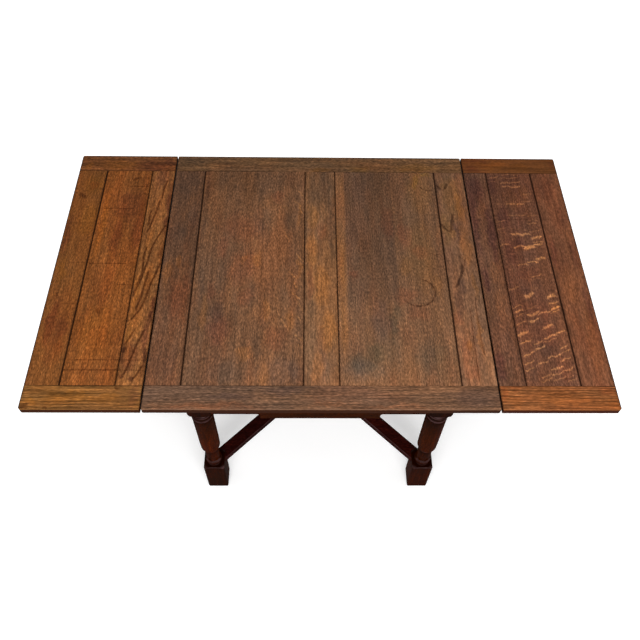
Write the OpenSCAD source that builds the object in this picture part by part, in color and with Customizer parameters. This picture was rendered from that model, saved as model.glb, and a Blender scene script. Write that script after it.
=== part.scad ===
// Draw-leaf table with both leaves drawn out.
// Millimetres, +Z up, origin on the floor under the middle of the top.
// X runs along the leaves' travel, Y across it, the front is -Y.

/* [Table] */
// Height of the tabletop above the floor
table_h = 760; // [720:1:800]
// Length of the main top along X
top_x = 915; // [880:1:960]
// Width of the main top and of the leaves along Y
top_y = 915; // [880:1:960]
// Width of one leaf along X
leaf_w = 305; // [290:1:320]
// Thickness of every board of the top and the leaves
board_t = 19; // [17:0.5:22]
// Gap between the main top and a drawn leaf
leaf_gap = 2.5; // [1.5:0.5:4]

/* [Framed boards] */
// Width of the front and back rails of the top and the leaves
rail_w = 70; // [60:1:80]
// Width of the outer stiles of the main top
stile_w = 95; // [85:1:105]
// Width of the middle stile of the main top
muntin_w = 96; // [86:1:110]
// Width of a leaf's stile beside the main top
leaf_inner_stile_w = 73; // [66:1:80]
// Width of a leaf's outer stile
leaf_outer_stile_w = 92; // [84:1:100]
// Thickness of the tongues that join the boards
tongue_t = 6; // [5:0.5:7]
// Depth of the grooves that take the tongues
groove_d = 10; // [8:0.5:12]
// Width of the chamfer along each face joint of a panel
joint_chamfer = 1.8; // [1:0.2:2.4]
// Radius of the arris round the top and bottom edges of a board
arris_r = 3.5; // [2:0.5:5]
// Corner radius of the main top in plan
top_corner_r = 7; // [5:1:12]
// Corner radius of a leaf's outer corners in plan
leaf_corner_r = 11; // [6:1:16]

/* [Legs] */
// Side of the square blocks of a leg
leg_size = 68; // [62:1:72]
// Distance from the end of the main top to the middle of a leg
leg_inset_x = 113; // [105:1:125]
// Distance from the front of the main top to the middle of a leg
leg_inset_y = 121; // [116:1:131]
// Height of the foot block
foot_h = 164; // [160:1:176]
// Height of the floor side of the upper block
block_z = 541; // [532:1:552]
// Width of the chamfers on the blocks' upright edges
leg_chamfer = 5; // [3:0.5:7]
// Radius of the arris round the top of the foot block
block_arris_r = 5; // [2:0.5:6]
// Radius of the arris round the underside of the foot block
foot_arris_r = 8; // [3:0.5:10]
// Radius of the neck above the foot block
neck_r = 22.5; // [18:0.5:26]
// Radius of the column at its foot
column_low_r = 30.5; // [28:0.5:31.5]
// Radius of the column at its head
column_high_r = 31.5; // [29:0.5:32]
// Length of the neck
neck_h = 80; // [60:2:100]
// Height of the ring on the foot block
ring_h = 30; // [20:1:36]
// Radius of the ring on the foot block
ring_r = 26.5; // [24:0.5:29]
// Height of the bead under the column
foot_bead_h = 9; // [6:0.5:12]
// Radius of the bead under the column
foot_bead_r = 25; // [23:0.5:28]

/* [Aprons] */
// Thickness of the aprons and end rails
apron_t = 22; // [18:1:26]
// Depth of an apron beside the legs
apron_h = 172; // [160:1:175]
// Extra depth of the middle part of an apron
apron_drop = 26; // [15:1:35]
// Width of the deeper middle part of the front and back aprons
apron_mid_w = 344; // [300:2:400]
// Width of the deeper middle part of the end rails
end_mid_w = 300; // [260:2:340]
// Radius of the hollow beside the deeper part
apron_cove_r = 9; // [6:1:12]
// Distance from a leg's face back to the apron's face
apron_set = 6; // [3:1:9]
// Thickness of the tenons on aprons and end rails
tenon_t = 9; // [7:0.5:11]
// Length of the tenons on aprons and end rails
tenon_l = 24; // [18:1:28]

/* [Stretchers] */
// Height of the upper face of the crossed stretchers
stretcher_z = 158; // [120:1:159]
// Width of a stretcher
stretcher_w = 44; // [38:1:50]
// Thickness of a stretcher
stretcher_t = 22; // [18:1:26]
// Chamfer along a stretcher's upper edges
stretcher_chamfer = 2; // [1:0.5:3]
// Length of the stub tenon in the leg
stretcher_tenon_l = 18; // [12:1:24]

/* [Draw runners] */
// Height of a sloping bearer
bearer_h = 40; // [34:1:44]
// Thickness of a sloping bearer
bearer_t = 22; // [18:1:24]
// Distance from the legs' axes in to the bearers of the left leaf
left_bearer_inset = 136.5; // [131.5:1:146.5]
// Distance from the legs' axes in to the bearers of the right leaf
right_bearer_inset = 86.5; // [78.5:1:91.5]
// Height of a bearer's end under the leaf
bearer_tip_h = 20; // [16:1:24]
// Distance from the leaf's outer edge to the bearer's end
bearer_tip_inset = 32; // [24:1:45]
// Distance that a bearer reaches past the middle of the table
bearer_tail = 35; // [30:1:38]
// Clearance above and below a bearer
bearer_clear = 0.25; // [0.2:0.05:0.4]
// Clearance at each side of a bearer
side_clear = 0.6; // [0.4:0.1:1]
// Clearance above and below a leaf that is pushed in
slide_clear = 0.5; // [0.4:0.1:0.8]
// Distance that a pushed-in leaf stands proud of the main top
closed_proud = 5; // [2:1:8]
// Half width of the fixed board under the main top
centre_board_half = 150; // [140:1:155]
// Thickness of the guide rail across the middle of the frame
guide_t = 22; // [18:1:26]
// Height of the guide rail
guide_h = 92; // [84:1:100]
// Radius of the stop pins in the bearers
stop_pin_r = 4; // [3:0.5:5]
// Length of a stop pin
stop_pin_l = 34; // [30:1:38]
// Free travel of a drawn leaf before its stop pins touch the guide rail
stop_play = 6; // [5:0.5:8]

/* [Fixings] */
// Radius of the locating pegs of the main top
peg_r = 8; // [6:0.5:9]
// Length of a locating peg
peg_l = 62; // [54:1:70]
// Depth of a peg in the main top
peg_socket = 10; // [8:0.5:12]
// Clearance round a peg in the fixed board
peg_clear = 0.5; // [0.3:0.1:0.8]
// Distance along Y from a peg to the left leaf's bearer, axis to axis
peg_inset = 60; // [40:1:90]
// Distance from the guide rail's side to the nearest part of a peg
peg_guide_gap = 5; // [3:0.5:7]
// Radius of a wood screw's shank
screw_r = 2.5; // [2:0.25:3]
// Radius of a wood screw's head
screw_head_r = 5; // [4:0.25:6]
// Thickness of the corner braces
brace_t = 22; // [18:1:26]
// Height of the corner braces
brace_h = 56; // [44:1:60]
// Radius of a coach screw's shank
coach_r = 4; // [3:0.5:5]
// Depth of a coach screw in the leg
coach_depth = 34; // [26:1:38]
// Radius of the dowel through the crossing of the stretchers
dowel_r = 5; // [4:0.5:7]

/* [Hidden] */
$fn = 64;
e = 0.01;
fit = 0.1;
arc_steps = 6;

// Places that follow from the sizes above
leg_x = top_x / 2 - leg_inset_x;
leg_y = top_y / 2 - leg_inset_y;
leg_half = leg_size / 2;
board_z = table_h - board_t;
centre_board_t = board_t + 2 * slide_clear;
frame_z = board_z - centre_board_t;
top_half = top_x / 2;
muntin_half = muntin_w / 2;
leaf_in_x = top_half + leaf_gap;
leaf_out_x = leaf_in_x + leaf_w;
inner_joint_x = leaf_in_x + leaf_inner_stile_w;
outer_joint_x = leaf_out_x - leaf_outer_stile_w;
left_bearer_y = leg_y - left_bearer_inset;
right_bearer_y = leg_y - right_bearer_inset;
apron_face = leg_half - apron_set;
apron_in_y = leg_y + apron_face - apron_t;
apron_in_x = leg_x + apron_face - apron_t;
apron_mid_y = leg_y + apron_face - apron_t / 2;
apron_mid_x = leg_x + apron_face - apron_t / 2;
apron_z = frame_z - apron_h;
tenon_shoulder_low = 14;
tenon_shoulder_high = 18;
guide_housing = 7;
guide_end_gap = 0.5;

// Slope of the bearers: the leaf drops by its own slot while it travels under the top
draw_travel = leaf_w + leaf_gap - closed_proud;
draw_slope = (centre_board_t - slide_clear) / draw_travel;
bearer_rise = bearer_h * sqrt(1 + pow(draw_slope, 2));
bearer_kink_x = centre_board_half + (centre_board_t + bearer_clear) / draw_slope;
peg_x = guide_t / 2 + peg_guide_gap + peg_r;
peg_y = left_bearer_y - peg_inset;
pin_x = guide_t / 2 + stop_play + stop_pin_r;
pin_z = line_z(-pin_x) - bearer_rise / 2;

// Corner braces, stretchers and screws
brace_z = apron_z + 36;
brace_sum = leg_x + leg_y - leg_size;
brace_w = brace_t * sqrt(2);
coach_l = brace_t + coach_depth;
coach_head_t = 5;
stretcher_angle = atan2(leg_y, leg_x);
stretcher_l = 2 * norm([leg_x, leg_y]);
stretcher_tenon_w = stretcher_w / 2;
stretcher_tenon_t = stretcher_t / 2;
stretcher_tenon_z = stretcher_z - stretcher_t + (stretcher_t - stretcher_tenon_t) / 2;
// Distance from a leg's axis to the chamfer where a stretcher meets it
stretcher_reach = leg_half * sqrt(2) - leg_chamfer / sqrt(2);
leaf_screw_x = [leaf_in_x + leaf_inner_stile_w / 2, leaf_out_x - leaf_outer_stile_w / 2];
leaf_screw_l = 28;
leaf_screw_head_t = 3;
board_screw_x = centre_board_half - 30;
board_screw_l = 52;
board_screw_sink = 0.5;
board_screw_head_t = 3.5;

// Turned parts of a leg, measured from the floor
ring_z = foot_h + ring_h / 2;
neck_z = foot_h + ring_h;
column_z = neck_z + neck_h;
column_round = 12;
turned_seat = 4;
low_bead_r = 5.5;
high_bead_r = 7;
high_bead_z = block_z - 26;
low_bead_z = high_bead_z - high_bead_r - low_bead_r - 8;

leg_colour = [0.20, 0.09, 0.05];
stretcher_colour = [0.13, 0.04, 0.03];
apron_colour = [0.27, 0.14, 0.07];
inner_colour = [0.55, 0.42, 0.28];
top_colour = [0.42, 0.29, 0.22];
top_panel_colour = [0.40, 0.27, 0.20];
left_colour = [0.52, 0.33, 0.20];
right_colour = [0.48, 0.27, 0.18];
bearer_colour = [0.35, 0.21, 0.12];
steel_colour = [0.55, 0.54, 0.50];
peg_colour = [0.60, 0.45, 0.28];

// Upper line of a right-hand bearer at x, which passes just under the fixed board's edge
function line_z(x) = frame_z - bearer_clear + (x - centre_board_half) * draw_slope;

// Points of an arc from angle a to angle b
function arc(x, y, r, a, b, n = arc_steps) =
    [for (i = [0 : n]) let (t = a + (b - a) * i / n) [x + r * cos(t), y + r * sin(t)]];

// Outline of a rectangle from lo to hi with its own radius at each corner:
// low left, low right, high right, high left
function round_box(lo, hi, r) = concat(
    arc(lo[0] + r[0], lo[1] + r[0], r[0], 180, 270),
    arc(hi[0] - r[1], lo[1] + r[1], r[1], 270, 360),
    arc(hi[0] - r[2], hi[1] - r[2], r[2], 0, 90),
    arc(lo[0] + r[3], hi[1] - r[3], r[3], 90, 180));

// Solid between x0 and x1 from an outline in Y and Z
module along_x(x0, x1) {
    translate([x0, 0, 0]) rotate([90, 0, 90]) linear_extrude(x1 - x0) children();
}

// Solid between y0 and y1 from an outline in X and Z
module along_y(y0, y1) {
    translate([0, y1, 0]) rotate([90, 0, 0]) linear_extrude(y1 - y0) children();
}

// Box between two corners
module span(lo, hi) {
    translate(lo) cube(hi - lo);
}

// Whole board with rounded edges and corners, used to shape its outer pieces.
// inner_r is the radius of the corners at x0, outer_r of those at x1.
module board_form(x0, x1, inner_r, outer_r) {
    half_y = top_y / 2;
    intersection() {
        along_x(x0, x1)
            polygon(round_box([-half_y, board_z], [half_y, table_h], arris_r * [1, 1, 1, 1]));
        along_y(-half_y, half_y)
            polygon(round_box([x0, board_z], [x1, table_h], arris_r * [1, 1, 1, 1]));
        translate([0, 0, board_z]) linear_extrude(board_t)
            polygon(round_box([x0, -half_y], [x1, half_y], [inner_r, outer_r, outer_r, inner_r]));
    }
}

// Cross-section of a board edge joint: the board's outline from a0 to a1 with a
// tongue (1), a groove (-1) or nothing (0) at its low and high side
module jointed_section(a0, a1, low, high, chamfer_low, chamfer_high) {
    mid = board_z + board_t / 2;
    difference() {
        union() {
            polygon([[a0, board_z], [a1, board_z], [a1, table_h - chamfer_high],
                [a1 - chamfer_high, table_h], [a0 + chamfer_low, table_h],
                [a0, table_h - chamfer_low]]);
            if (low == 1) section_tongue(a0, -1, mid);
            if (high == 1) section_tongue(a1, 1, mid);
        }
        if (low == -1) section_groove(a0, 1, mid);
        if (high == -1) section_groove(a1, -1, mid);
    }
}

// Tongue that stands out of an edge at a, towards side
module section_tongue(a, side, mid) {
    reach = groove_d - 0.5;
    translate([side > 0 ? a - e : a - reach, mid - tongue_t / 2]) square([reach + e, tongue_t]);
}

// Groove that goes into an edge at a, towards side
module section_groove(a, side, mid) {
    translate([side > 0 ? a - 1 : a - groove_d, mid - tongue_t / 2 - fit])
        square([groove_d + 1, tongue_t + 2 * fit]);
}

// Upright board between the rails: its ends have tongues that enter the rails' grooves
module upright_board(x0, x1, low, high, chamfer_low, chamfer_high) {
    end_y = top_y / 2 - rail_w;
    mid = board_z + board_t / 2;
    reach = groove_d - 0.5;
    along_y(-end_y, end_y) jointed_section(x0, x1, low, high, chamfer_low, chamfer_high);
    intersection() {
        along_y(-end_y - reach, end_y + reach) jointed_section(x0, x1, low, high, 0, 0);
        span([x0 - groove_d, -top_y / 2, mid - tongue_t / 2], [x1 + groove_d, top_y / 2, mid + tongue_t / 2]);
        difference() {
            span([x0, -end_y - reach, board_z], [x1, end_y + reach, table_h]);
            span([x0 - e, -end_y + e, board_z - e], [x1 + e, end_y - e, table_h + e]);
        }
    }
}

// Front rail of a framed board from x0 to x1, with a stopped groove on its inner side
module cross_rail(x0, x1, stop_low, stop_high) {
    mid = board_z + board_t / 2;
    in_y = -top_y / 2 + rail_w;
    difference() {
        span([x0, -top_y / 2, board_z], [x1, in_y, table_h]);
        span([x0 + stop_low, in_y - groove_d, mid - tongue_t / 2 - fit],
            [x1 - stop_high, in_y + 1, mid + tongue_t / 2 + fit]);
    }
}

// Main top, centred on the origin
module top_front_rail() {
    color(top_colour) top_rail();
}

module top_back_rail() {
    color(top_colour) mirror([0, 1, 0]) top_rail();
}

module top_rail() {
    intersection() {
        board_form(-top_half, top_half, top_corner_r, top_corner_r);
        cross_rail(-top_half, top_half, 0, 0);
    }
}

module top_right_stile() {
    color(top_colour) top_stile();
}

module top_left_stile() {
    color(top_colour) mirror([1, 0, 0]) top_stile();
}

module top_stile() {
    intersection() {
        board_form(-top_half, top_half, top_corner_r, top_corner_r);
        upright_board(top_half - stile_w, top_half, -1, 0, joint_chamfer, 0);
    }
}

module top_muntin() {
    color(top_colour) difference() {
        upright_board(-muntin_half, muntin_half, -1, -1, joint_chamfer, joint_chamfer);
        for (s = [-1, 1])
            translate([-s * peg_x, s * peg_y, board_z - 1]) cylinder(r = peg_r + fit / 2, h = peg_socket + 1);
    }
}

module top_right_panel() {
    color(top_panel_colour) top_panel();
}

module top_left_panel() {
    color(top_panel_colour) mirror([1, 0, 0]) top_panel();
}

module top_panel() {
    upright_board(muntin_half, top_half - stile_w, 1, 1, joint_chamfer, joint_chamfer);
}

// Two round pegs that stand out under the main top and drop into the fixed board
module top_pegs() {
    color(peg_colour) for (s = [-1, 1])
        translate([-s * peg_x, s * peg_y, board_z + peg_socket - peg_l]) {
            nose = peg_r / 3;
            cylinder(r1 = peg_r - nose, r2 = peg_r, h = nose);
            translate([0, 0, nose]) cylinder(r = peg_r, h = peg_l - nose);
        }
}

// Leaves: every piece is drawn for the right leaf and mirrored for the left one
module leaf_form() {
    board_form(leaf_in_x, leaf_out_x, arris_r, leaf_corner_r);
}

module leaf_front_rail() {
    intersection() {
        leaf_form();
        cross_rail(leaf_in_x, leaf_out_x, 0, 0);
    }
}

module leaf_inner_stile(bearer_y) {
    difference() {
        intersection() {
            leaf_form();
            upright_board(leaf_in_x, inner_joint_x, 0, -1, 0, joint_chamfer);
        }
        leaf_screw_holes(bearer_y);
    }
}

module leaf_outer_stile(bearer_y) {
    difference() {
        intersection() {
            leaf_form();
            upright_board(outer_joint_x, leaf_out_x, -1, 0, joint_chamfer, 0);
        }
        leaf_screw_holes(bearer_y);
    }
}

module leaf_panel() {
    upright_board(inner_joint_x, outer_joint_x, 1, 1, joint_chamfer, joint_chamfer);
}

// Outline of a bearer in X and Z: it slopes inwards under the fixed board, lies flat
// under the leaf and tapers to its outer end
module bearer_outline() {
    tip_x = leaf_out_x - bearer_tip_inset;
    taper_x = leaf_in_x + leaf_inner_stile_w;
    polygon([
        [-bearer_tail, line_z(-bearer_tail) - bearer_rise],
        [taper_x, line_z(taper_x) - bearer_rise],
        [tip_x, board_z - bearer_tip_h],
        [tip_x, board_z],
        [bearer_kink_x, board_z],
        [-bearer_tail, line_z(-bearer_tail)]]);
}

module bearer(y) {
    difference() {
        along_y(y - bearer_t / 2, y + bearer_t / 2) bearer_outline();
        translate([-pin_x, y, pin_z]) rotate([90, 0, 0])
            cylinder(r = stop_pin_r + fit / 2, h = bearer_t + 2, center = true);
        for (x = leaf_screw_x)
            translate([x, y, 0]) {
                translate([0, 0, frame_z - bearer_h]) cylinder(r = screw_head_r + fit, h = leaf_screw_z() - frame_z + bearer_h);
                translate([0, 0, frame_z]) cylinder(r = screw_r + fit / 2, h = centre_board_t + board_t);
            }
    }
}

// Height of the shoulder on which a leaf screw's head bears
function leaf_screw_z() = board_z - bearer_tip_h + leaf_screw_head_t + 5;

module leaf_screw_holes(bearer_y) {
    for (x = leaf_screw_x, s = [-1, 1])
        translate([x, s * bearer_y, board_z - 1])
            cylinder(r = screw_r + fit / 2, h = leaf_screw_z() - leaf_screw_head_t + leaf_screw_l - board_z + 1 + fit);
}

// Round-headed screws that hold a leaf on its bearers, driven from below
module leaf_screws(bearer_y) {
    for (x = leaf_screw_x, s = [-1, 1])
        translate([x, s * bearer_y, leaf_screw_z() - leaf_screw_head_t]) {
            cylinder(r = screw_head_r, h = leaf_screw_head_t);
            cylinder(r = screw_r, h = leaf_screw_l);
        }
}

// Cross pins at the inner ends of the bearers, which stop the leaf from being drawn out too far
module leaf_stop_pins(bearer_y) {
    for (s = [-1, 1])
        translate([-pin_x, s * bearer_y, pin_z]) rotate([90, 0, 0])
            cylinder(r = stop_pin_r, h = stop_pin_l, center = true);
}

module right_leaf_front_rail() { color(right_colour) leaf_front_rail(); }
module right_leaf_back_rail() { color(right_colour) mirror([0, 1, 0]) leaf_front_rail(); }
module right_leaf_inner_stile() { color(right_colour) leaf_inner_stile(right_bearer_y); }
module right_leaf_outer_stile() { color(right_colour) leaf_outer_stile(right_bearer_y); }
module right_leaf_panel() { color(right_colour) leaf_panel(); }
module right_leaf_front_bearer() { color(bearer_colour) bearer(-right_bearer_y); }
module right_leaf_back_bearer() { color(bearer_colour) bearer(right_bearer_y); }
module right_leaf_screws() { color(steel_colour) leaf_screws(right_bearer_y); }
module right_leaf_stop_pins() { color(steel_colour) leaf_stop_pins(right_bearer_y); }

module left() { mirror([1, 0, 0]) children(); }

module left_leaf_front_rail() { color(left_colour) left() leaf_front_rail(); }
module left_leaf_back_rail() { color(left_colour) left() mirror([0, 1, 0]) leaf_front_rail(); }
module left_leaf_inner_stile() { color(left_colour) left() leaf_inner_stile(left_bearer_y); }
module left_leaf_outer_stile() { color(left_colour) left() leaf_outer_stile(left_bearer_y); }
module left_leaf_panel() { color(left_colour) left() leaf_panel(); }
module left_leaf_front_bearer() { color(bearer_colour) left() bearer(-left_bearer_y); }
module left_leaf_back_bearer() { color(bearer_colour) left() bearer(left_bearer_y); }
module left_leaf_screws() { color(steel_colour) left() leaf_screws(left_bearer_y); }
module left_leaf_stop_pins() { color(steel_colour) left() leaf_stop_pins(left_bearer_y); }

// Legs: a leg is drawn on its own axis with its inner faces towards +X and +Y

// Outline of a leg's block in plan, grown by gap
module block_outline(gap = 0) {
    h = leg_half + gap;
    c = leg_chamfer + gap * (2 - sqrt(2));
    polygon([[c - h, -h], [h - c, -h], [h, c - h], [h, h - c], [h - c, h], [c - h, h], [-h, h - c], [-h, c - h]]);
}

// Square block from z0 to z1 with chamfered upright edges and lathe-cut shoulders
// at its low end, its high end or both
module leg_block(z0, z1, cut_low, cut_high) {
    corner_r = leg_half * sqrt(2);
    drop = corner_r - leg_half;
    intersection() {
        translate([0, 0, z0]) linear_extrude(z1 - z0) block_outline();
        rotate_extrude() polygon(concat(
            [[0, z0]],
            cut_low ? arc(leg_half - 3, z0 + drop + 3, drop + 3, -90, 0) : [[corner_r, z0]],
            cut_high ? arc(leg_half - 3, z1 - drop - 3, drop + 3, 0, 90) : [[corner_r, z1]],
            [[0, z1]]));
    }
}

// Outline of the turned part: ring, neck, small bead, rounded column foot, column, two beads and cove
module turned_outline() {
    bead_x = column_high_r - high_bead_r + 0.5;
    ring_round = ring_h / 2 - 3;
    polygon(concat(
        [[0, foot_h - turned_seat], [ring_r - 1.5, foot_h - turned_seat], [ring_r - 1.5, foot_h + 2]],
        arc(ring_r - ring_round, ring_z, ring_round, -65, 65),
        [[neck_r - 0.5, neck_z], [neck_r, neck_z + 14], [neck_r + 0.5, neck_z + neck_h / 2],
            [neck_r, column_z - foot_bead_h - 12], [neck_r - 0.5, column_z - foot_bead_h - 4]],
        arc(foot_bead_r - foot_bead_h / 2, column_z - foot_bead_h / 2 - 3, foot_bead_h / 2, -75, 75),
        [[foot_bead_r - 2.5, column_z - 2]],
        arc(column_low_r - column_round, column_z + column_round, column_round, -65, 0),
        [[column_low_r + 0.8, column_z + 60], [column_high_r - 0.4, (column_z + low_bead_z) / 2],
            [column_high_r, low_bead_z - low_bead_r - 6], [column_high_r - 2, low_bead_z - low_bead_r - 1]],
        arc(column_high_r - low_bead_r + 0.5, low_bead_z, low_bead_r, -75, 75),
        [[column_high_r - 3, low_bead_z + low_bead_r + 1], [column_high_r - 3, high_bead_z - high_bead_r - 1]],
        arc(bead_x, high_bead_z, high_bead_r, -75, 75),
        arc(column_high_r + 2, high_bead_z + high_bead_r + 9, 8, 260, 160),
        [[column_high_r - 5, block_z + turned_seat], [0, block_z + turned_seat]]));
}

// Mortises for an apron (along X) and an end rail (along Y), and for the stretcher
module leg_mortises() {
    mid = apron_face - apron_t / 2;
    z0 = apron_z + tenon_shoulder_low - fit / 2;
    z1 = frame_z - tenon_shoulder_high + fit / 2;
    t = tenon_t / 2 + fit / 2;
    span([leg_half - tenon_l - 1, -mid - t, z0], [leg_half + 1, -mid + t, z1]);
    span([-mid - t, leg_half - tenon_l - 1, z0], [-mid + t, leg_half + 1, z1]);
    rotate([0, 0, stretcher_angle])
        translate([stretcher_reach - stretcher_tenon_l - 1, -stretcher_tenon_w / 2 - fit / 2,
            stretcher_tenon_z - fit / 2])
        cube([stretcher_tenon_l + leg_size, stretcher_tenon_w + fit, stretcher_tenon_t + fit]);
}

// Foot block from the floor up, with soft edges round its top and its underside
module foot_block() {
    top = block_arris_r;
    low = foot_arris_r;
    outline = concat(
        arc(leg_half - low, low, low, -90, 0, 4),
        arc(leg_half - top, foot_h - top, top, 0, 90, 4),
        arc(top - leg_half, foot_h - top, top, 90, 180, 4),
        arc(low - leg_half, low, low, 180, 270, 4));
    intersection() {
        leg_block(0, foot_h, false, true);
        along_x(-leg_half, leg_half) polygon(outline);
        along_y(-leg_half, leg_half) polygon(outline);
    }
}

module leg() {
    difference() {
        union() {
            foot_block();
            rotate_extrude() turned_outline();
            leg_block(block_z, frame_z, true, false);
        }
        leg_mortises();
        rotate([0, 0, 45])
            translate([leg_half * sqrt(2) - coach_depth - fit, 0, brace_z + brace_h / 2]) rotate([0, 90, 0])
            cylinder(r = coach_r + fit / 2, h = leg_size);
    }
}

module placed_leg(sx, sy) {
    color(leg_colour)
        mirror([sx > 0 ? 1 : 0, 0, 0]) mirror([0, sy > 0 ? 1 : 0, 0])
        translate([-leg_x, -leg_y, 0]) leg();
}

module front_left_leg() { placed_leg(-1, -1); }
module front_right_leg() { placed_leg(1, -1); }
module back_left_leg() { placed_leg(-1, 1); }
module back_right_leg() { placed_leg(1, 1); }

// Outline of an apron of half length l, with the deeper part in the middle and a
// hollow at each end of it
module apron_outline(l, mid_w) {
    m = mid_w / 2;
    r = apron_cove_r;
    low = apron_z - apron_drop;
    right = concat(
        arc(m - 2, low + 2, 2, 270, 360, 3),
        [[m, apron_z - r]],
        arc(m + r, apron_z - r, r, 180, 90),
        [[l, apron_z]]);
    left = [for (i = [len(right) - 1 : -1 : 0]) [-right[i][0], right[i][1]]];
    polygon(concat(right, [[l, frame_z], [-l, frame_z]], left));
}

// Tenons at both ends of an apron whose shoulders stand at half length l
module apron_tenons(l) {
    for (s = [-1, 1])
        translate([s > 0 ? l - e : -l - tenon_l, apron_z + tenon_shoulder_low])
            square([tenon_l + e, apron_h - tenon_shoulder_low - tenon_shoulder_high]);
}

module front_apron() {
    color(apron_colour) apron();
}

module back_apron() {
    color(apron_colour) mirror([0, 1, 0]) apron();
}

module apron() {
    l = leg_x - leg_half;
    difference() {
        union() {
            along_y(-apron_mid_y - apron_t / 2, -apron_mid_y + apron_t / 2) apron_outline(l, apron_mid_w);
            along_y(-apron_mid_y - tenon_t / 2, -apron_mid_y + tenon_t / 2) apron_tenons(l);
        }
        span([-guide_t / 2 - fit / 2, -apron_in_y - guide_housing, frame_z - guide_h - fit],
            [guide_t / 2 + fit / 2, -apron_in_y + 1, frame_z + 1]);
        for (s = [-1, 1])
            translate([s * board_screw_x, -apron_mid_y, board_z - board_screw_sink - board_screw_l - fit])
                cylinder(r = screw_r + fit / 2, h = board_screw_l + board_screw_sink + fit + 1);
    }
}

// End rail in the frame's right end, with a sloping notch for each bearer
module end_rail(bearer_y) {
    l = leg_y - leg_half;
    x0 = apron_in_x;
    x1 = apron_in_x + apron_t;
    difference() {
        union() {
            along_x(x0, x1) apron_outline(l, end_mid_w);
            along_x(apron_mid_x - tenon_t / 2, apron_mid_x + tenon_t / 2) apron_tenons(l);
        }
        for (s = [-1, 1])
            bearer_slot(s * bearer_y, x0 - 1, x1 + 1);
    }
}

// Space that a right-hand bearer needs between x0 and x1, open at the top
module bearer_slot(y, x0, x1) {
    half = bearer_t / 2 + side_clear;
    along_y(y - half, y + half)
        polygon([
            [x0, line_z(x0) - bearer_rise - bearer_clear],
            [x1, line_z(x1) - bearer_rise - bearer_clear],
            [x1, board_z], [x0, board_z]]);
}

module right_end_rail() { color(apron_colour) end_rail(right_bearer_y); }
module left_end_rail() { color(apron_colour) left() end_rail(left_bearer_y); }

// Guide rail across the middle, housed in the aprons and slotted for all four bearers
module guide_rail() {
    end_y = apron_in_y + guide_housing - guide_end_gap;
    color(inner_colour) difference() {
        span([-guide_t / 2, -end_y, frame_z - guide_h], [guide_t / 2, end_y, frame_z]);
        for (s = [-1, 1]) {
            bearer_slot(s * right_bearer_y, -guide_t / 2 - 1, guide_t / 2 + 1);
            left() bearer_slot(s * left_bearer_y, -guide_t / 2 - 1, guide_t / 2 + 1);
        }
    }
}

// Fixed board under the middle of the main top: it holds the bearers down and takes the pegs
module centre_board() {
    end_y = leg_y + apron_face;
    color(inner_colour) difference() {
        span([-centre_board_half, -end_y, frame_z], [centre_board_half, end_y, board_z]);
        for (s = [-1, 1])
            translate([-s * peg_x, s * peg_y, frame_z - 1])
                cylinder(r = peg_r + peg_clear, h = centre_board_t + 2);
        for (sx = [-1, 1], sy = [-1, 1])
            translate([sx * board_screw_x, sy * apron_mid_y, board_z - board_screw_sink]) {
                translate([0, 0, -centre_board_t]) cylinder(r = screw_r + fit / 2, h = centre_board_t);
                translate([0, 0, -board_screw_head_t])
                    cylinder(r1 = screw_r + fit / 2, r2 = screw_head_r + fit / 2, h = board_screw_head_t);
                cylinder(r = screw_head_r + fit / 2, h = board_screw_sink + 1);
            }
    }
}

// Countersunk screws through the fixed board into the aprons
module centre_board_screws() {
    color(steel_colour) for (sx = [-1, 1], sy = [-1, 1])
        translate([sx * board_screw_x, sy * apron_mid_y, board_z - board_screw_sink]) {
            translate([0, 0, -board_screw_l]) cylinder(r = screw_r, h = board_screw_l);
            translate([0, 0, -board_screw_head_t]) cylinder(r1 = screw_r, r2 = screw_head_r, h = board_screw_head_t);
        }
}

// Stretcher from the front left to the back right leg. Its ends are cut to fit round
// the legs' corners and have stub tenons. half_up keeps the upper half of the crossing.
module stretcher(half_up) {
    z0 = stretcher_z - stretcher_t;
    mid = z0 + stretcher_t / 2;
    difference() {
        union() {
            difference() {
                rotate([0, 0, stretcher_angle]) along_x(-stretcher_l / 2, stretcher_l / 2) stretcher_section();
                for (s = [-1, 1])
                    translate([s * leg_x, s * leg_y, z0 - 1]) linear_extrude(stretcher_t + 2) block_outline(fit);
            }
            rotate([0, 0, stretcher_angle]) for (turn = [0, 180]) rotate([0, 0, turn]) stretcher_tenon();
        }
        rotate([0, 0, -stretcher_angle])
            span([-stretcher_w, -stretcher_w / 2 - fit / 2, half_up ? z0 - 1 : mid],
                [stretcher_w, stretcher_w / 2 + fit / 2, half_up ? mid : stretcher_z + 1]);
        cylinder(r = dowel_r + fit / 2, h = stretcher_z + 1);
    }
}

// Cross-section of a stretcher in Y and Z
module stretcher_section() {
    z0 = stretcher_z - stretcher_t;
    c = stretcher_chamfer;
    half = stretcher_w / 2;
    polygon([[-half, z0], [half, z0], [half, stretcher_z - c],
        [half - c, stretcher_z], [c - half, stretcher_z], [-half, stretcher_z - c]]);
}

// Tenon at a stretcher's +X end, rooted behind the cut for the leg's corner
module stretcher_tenon() {
    shoulder = stretcher_l / 2 - stretcher_reach;
    span([shoulder - leg_half, -stretcher_tenon_w / 2, stretcher_tenon_z],
        [shoulder + stretcher_tenon_l, stretcher_tenon_w / 2, stretcher_tenon_z + stretcher_tenon_t]);
}

module upper_stretcher() {
    color(stretcher_colour) stretcher(true);
}

module lower_stretcher() {
    color(stretcher_colour) mirror([0, 1, 0]) stretcher(false);
}

module stretcher_dowel() {
    color(peg_colour) translate([0, 0, stretcher_z - stretcher_t]) cylinder(r = dowel_r, h = stretcher_t);
}

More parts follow.
